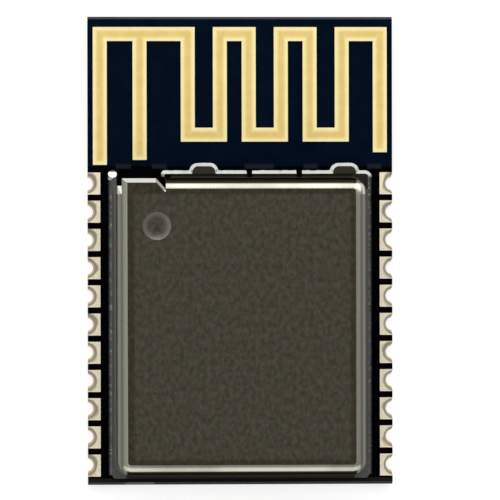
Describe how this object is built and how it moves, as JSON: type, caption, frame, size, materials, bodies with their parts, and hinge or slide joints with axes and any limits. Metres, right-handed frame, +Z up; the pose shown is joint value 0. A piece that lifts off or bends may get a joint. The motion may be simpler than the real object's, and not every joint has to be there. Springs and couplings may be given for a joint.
{
  "type": "radio module",
  "caption": "Surface-mount radio module: dark circuit board with half-hole edge pads, a gilt meander antenna and a drawn metal shield can over the radio chip.",
  "frame": {"origin": "centre of the board's underside", "axes": "+Z up to the component side, +Y to the antenna end, +X to the right seen from above"},
  "size_m": [0.0138, 0.021, 0.0028],
  "materials": {
    "solder_mask": "dark blue-black mask, satin",
    "gilt_trace": "thin gold plating, satin",
    "gilt_pad": "thin gold plating, satin",
    "shield_metal": "drawn nickel-silver sheet, fine rolled grain",
    "solder": "bright solder",
    "mould_compound": "matt moulding",
    "tinned_lead": "tinned",
    "crystal_ceramic": "matt ceramic",
    "lid_metal": "satin",
    "capacitor_ceramic": "matt ceramic, tinned ends",
    "inductor_ceramic": "matt ceramic, tinned ends",
    "resistor_coat": "glossy coat, tinned ends",
    "ferrite": "matt ferrite, tinned ends"
  },
  "bodies": {
    "root": {"circuit_board": "solder_mask", "antenna_trace": "gilt_trace", "edge_pad_left_01": "gilt_pad", "edge_pad_left_02": "gilt_pad", "edge_pad_left_03": "gilt_pad", "edge_pad_left_04": "gilt_pad", "edge_pad_left_05": "gilt_pad", "edge_pad_left_06": "gilt_pad", "edge_pad_left_07": "gilt_pad", "edge_pad_left_08": "gilt_pad", "edge_pad_left_09": "gilt_pad", "edge_pad_left_10": "gilt_pad", "edge_pad_left_11": "gilt_pad", "edge_pad_right_01": "gilt_pad", "edge_pad_right_02": "gilt_pad", "edge_pad_right_03": "gilt_pad", "edge_pad_right_04": "gilt_pad", "edge_pad_right_05": "gilt_pad", "edge_pad_right_06": "gilt_pad", "edge_pad_right_07": "gilt_pad", "edge_pad_right_08": "gilt_pad", "edge_pad_right_09": "gilt_pad", "edge_pad_right_10": "gilt_pad", "edge_pad_right_11": "gilt_pad", "shield_can": "shield_metal", "shield_solder": "solder", "radio_chip": "mould_compound", "radio_chip_leads": "tinned_lead", "main_crystal_base": "crystal_ceramic", "main_crystal_lid": "lid_metal", "clock_crystal_base": "crystal_ceramic", "clock_crystal_lid": "lid_metal", "power_inductor": "ferrite", "matching_inductor_01": "inductor_ceramic", "matching_inductor_02": "inductor_ceramic", "matching_capacitor_01": "capacitor_ceramic", "matching_capacitor_02": "capacitor_ceramic", "matching_capacitor_03": "capacitor_ceramic", "matching_capacitor_04": "capacitor_ceramic", "pullup_resistor_01": "resistor_coat", "pullup_resistor_02": "resistor_coat", "supply_capacitor_01": "capacitor_ceramic", "supply_capacitor_02": "capacitor_ceramic", "supply_capacitor_03": "capacitor_ceramic", "supply_capacitor_04": "capacitor_ceramic", "load_capacitor_01": "capacitor_ceramic", "load_capacitor_02": "capacitor_ceramic", "load_capacitor_03": "capacitor_ceramic", "load_capacitor_04": "capacitor_ceramic"}
  },
  "joints": []
}
